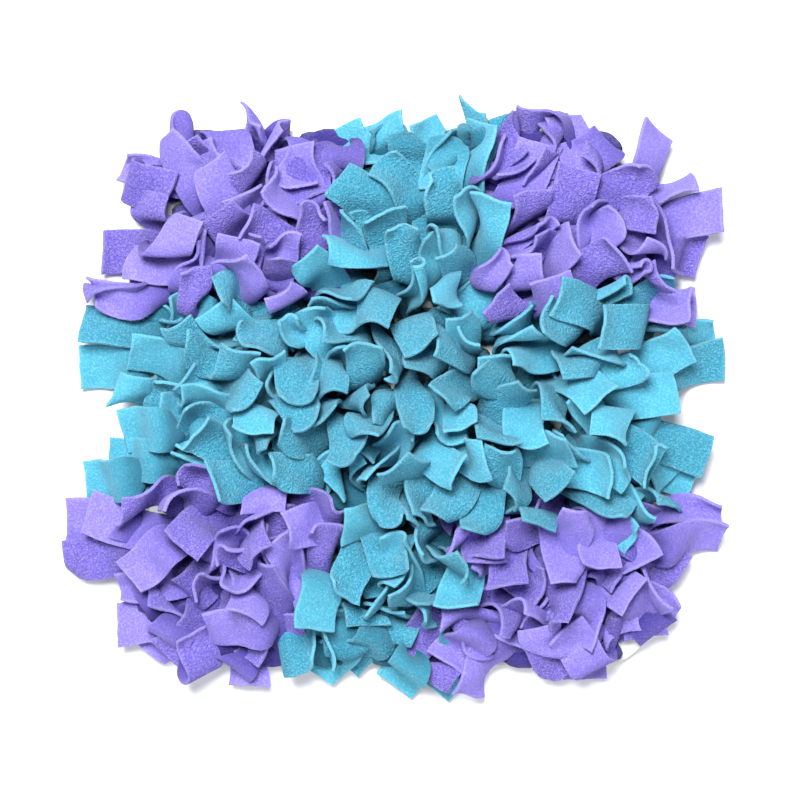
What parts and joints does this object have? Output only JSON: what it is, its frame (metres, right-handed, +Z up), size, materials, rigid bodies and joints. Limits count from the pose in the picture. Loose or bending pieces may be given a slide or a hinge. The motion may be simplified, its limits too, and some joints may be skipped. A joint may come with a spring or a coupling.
{
  "type": "snuffle mat",
  "caption": "Pet foraging mat: thick pile of fleece strips knotted through a soft perforated mat, a teal cross between purple corners.",
  "frame": {"origin": "middle of the mat's centre foot, on the surface the mat lies on", "axes": "+X across the mat's width, +Y across its depth to the back, +Z up through the pile"},
  "size_m": [0.3773, 0.3385, 0.0736],
  "materials": {
    "fleece_teal": "brushed fleece",
    "fleece_purple": "brushed fleece",
    "mat_white": "satin"
  },
  "bodies": {
    "root": {"base_mat": "mat_white", "strip_r1c1": "fleece_purple", "strip_r1c2": "fleece_purple", "strip_r1c3": "fleece_purple", "strip_r1c4": "fleece_teal", "strip_r1c5": "fleece_teal", "strip_r1c6": "fleece_purple", "strip_r1c7": "fleece_purple", "strip_r1c8": "fleece_purple", "strip_r2c1": "fleece_purple", "strip_r2c2": "fleece_purple", "strip_r2c3": "fleece_purple", "strip_r2c4": "fleece_teal", "strip_r2c5": "fleece_teal", "strip_r2c6": "fleece_purple", "strip_r2c7": "fleece_purple", "strip_r2c8": "fleece_purple", "strip_r3c1": "fleece_teal", "strip_r3c2": "fleece_teal", "strip_r3c3": "fleece_teal", "strip_r3c4": "fleece_teal", "strip_r3c5": "fleece_teal", "strip_r3c6": "fleece_teal", "strip_r3c7": "fleece_teal", "strip_r3c8": "fleece_teal", "strip_r4c1": "fleece_teal", "strip_r4c2": "fleece_teal", "strip_r4c3": "fleece_teal", "strip_r4c4": "fleece_teal", "strip_r4c5": "fleece_teal", "strip_r4c6": "fleece_teal", "strip_r4c7": "fleece_teal", "strip_r4c8": "fleece_teal", "strip_r5c1": "fleece_teal", "strip_r5c2": "fleece_teal", "strip_r5c3": "fleece_teal", "strip_r5c4": "fleece_teal", "strip_r5c5": "fleece_teal", "strip_r5c6": "fleece_teal", "strip_r5c7": "fleece_teal", "strip_r5c8": "fleece_teal", "strip_r6c1": "fleece_purple", "strip_r6c2": "fleece_purple", "strip_r6c3": "fleece_purple", "strip_r6c4": "fleece_teal", "strip_r6c5": "fleece_teal", "strip_r6c6": "fleece_purple", "strip_r6c7": "fleece_purple", "strip_r6c8": "fleece_purple", "strip_r7c1": "fleece_purple", "strip_r7c2": "fleece_purple", "strip_r7c3": "fleece_purple", "strip_r7c4": "fleece_teal", "strip_r7c5": "fleece_teal", "strip_r7c6": "fleece_purple", "strip_r7c7": "fleece_purple", "strip_r7c8": "fleece_purple"}
  },
  "joints": []
}
